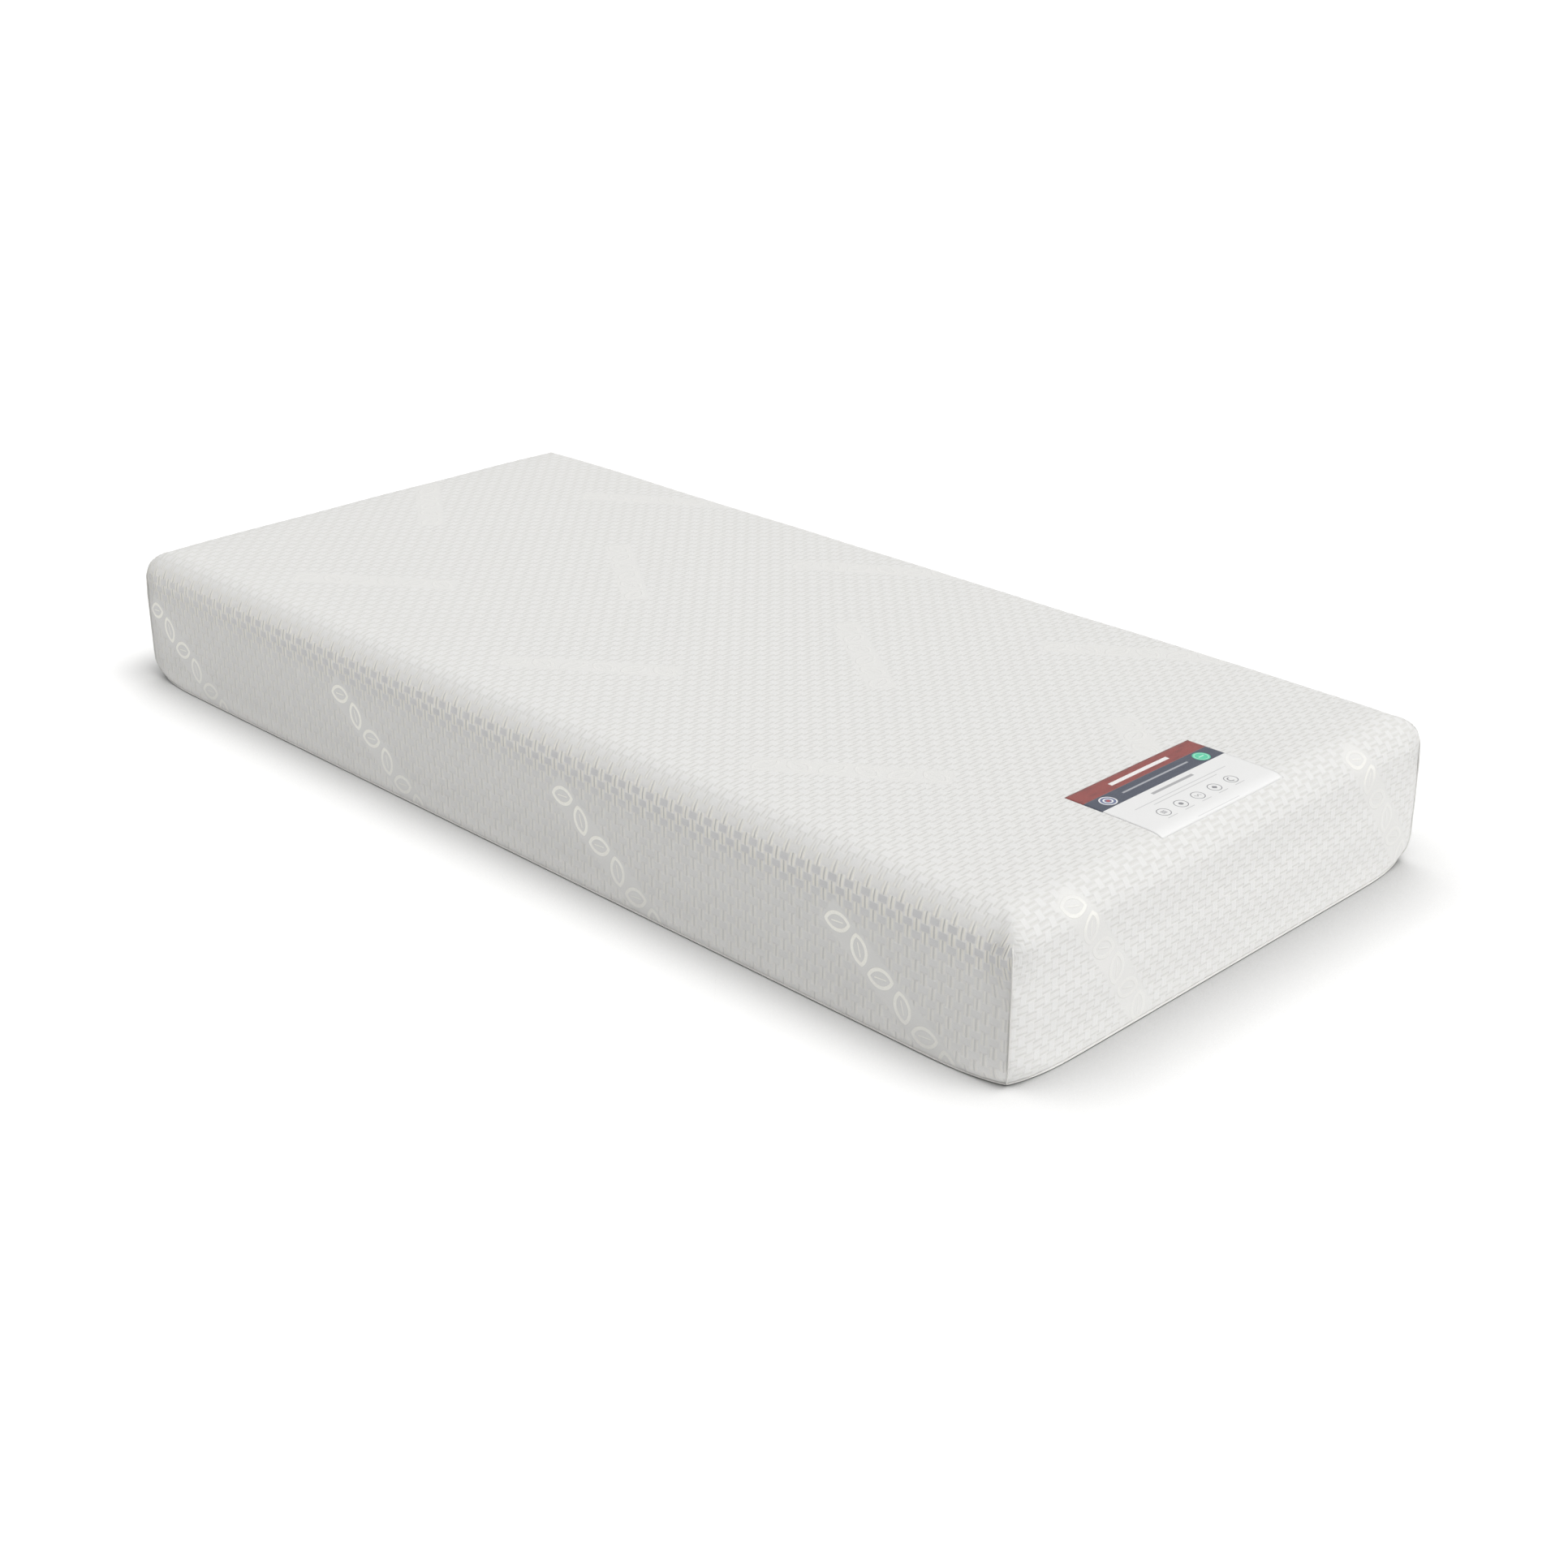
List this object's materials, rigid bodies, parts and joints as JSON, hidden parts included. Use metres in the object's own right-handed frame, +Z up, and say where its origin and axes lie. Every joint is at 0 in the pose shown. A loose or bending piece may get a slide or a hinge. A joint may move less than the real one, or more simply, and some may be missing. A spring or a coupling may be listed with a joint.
{
  "type": "memory foam mattress",
  "caption": "Narrow memory foam mattress with rounded top edges, in a removable patterned knit cover with a side zip and a plain sewn label.",
  "frame": {"origin": "centre of the underside, on the surface the mattress lies on", "axes": "+Z up; +Y along the length, from the foot end to the head end; +X across the width, towards the long side with the zip"},
  "size_m": [0.9047, 1.9008, 0.2257],
  "materials": {
    "knit_fabric": "matte jacquard knit",
    "base_fabric": "matte woven",
    "seam_thread": "matte",
    "memory_foam": "matte open-cell foam",
    "support_foam": "matte open-cell foam",
    "stockinette": "matte thin knit",
    "label_satin": "smooth printed satin",
    "zip_tape": "matte woven tape",
    "zip_nylon": "semi-gloss",
    "zip_metal": "satin nickel"
  },
  "bodies": {
    "mattress": {"support_foam_core": "support_foam", "memory_foam_layer": "memory_foam", "stockinette_liner": "stockinette", "knit_cover": "knit_fabric", "base_panel": "base_fabric", "corner_seam_head_right": "seam_thread", "corner_seam_head_left": "seam_thread", "corner_seam_foot_left": "seam_thread", "corner_seam_foot_right": "seam_thread", "base_seam_binding": "seam_thread", "product_label": "label_satin", "care_label": "label_satin", "zip_tape_upper": "zip_tape", "zip_tape_lower": "zip_tape", "zip_coil_upper": "zip_nylon", "zip_coil_lower": "zip_nylon", "zip_top_stop_upper": "zip_metal", "zip_top_stop_lower": "zip_metal", "zip_bottom_stop": "zip_metal"},
    "slider": {"zip_slider": "zip_metal"},
    "pull_tab": {"zip_pull_tab": "zip_metal"}
  },
  "joints": [
    {"name": "zip_slide", "type": "slide", "parent": "mattress", "child": "slider", "axis": [0, 1, 0], "range_m": [0, 1.714]},
    {"name": "pull_tab_swing", "type": "hinge", "parent": "slider", "child": "pull_tab", "pos_m": [0.4524, -0.8572, 0.032], "axis": [0, 0, -1], "range_deg": [0, 178]}
  ]
}
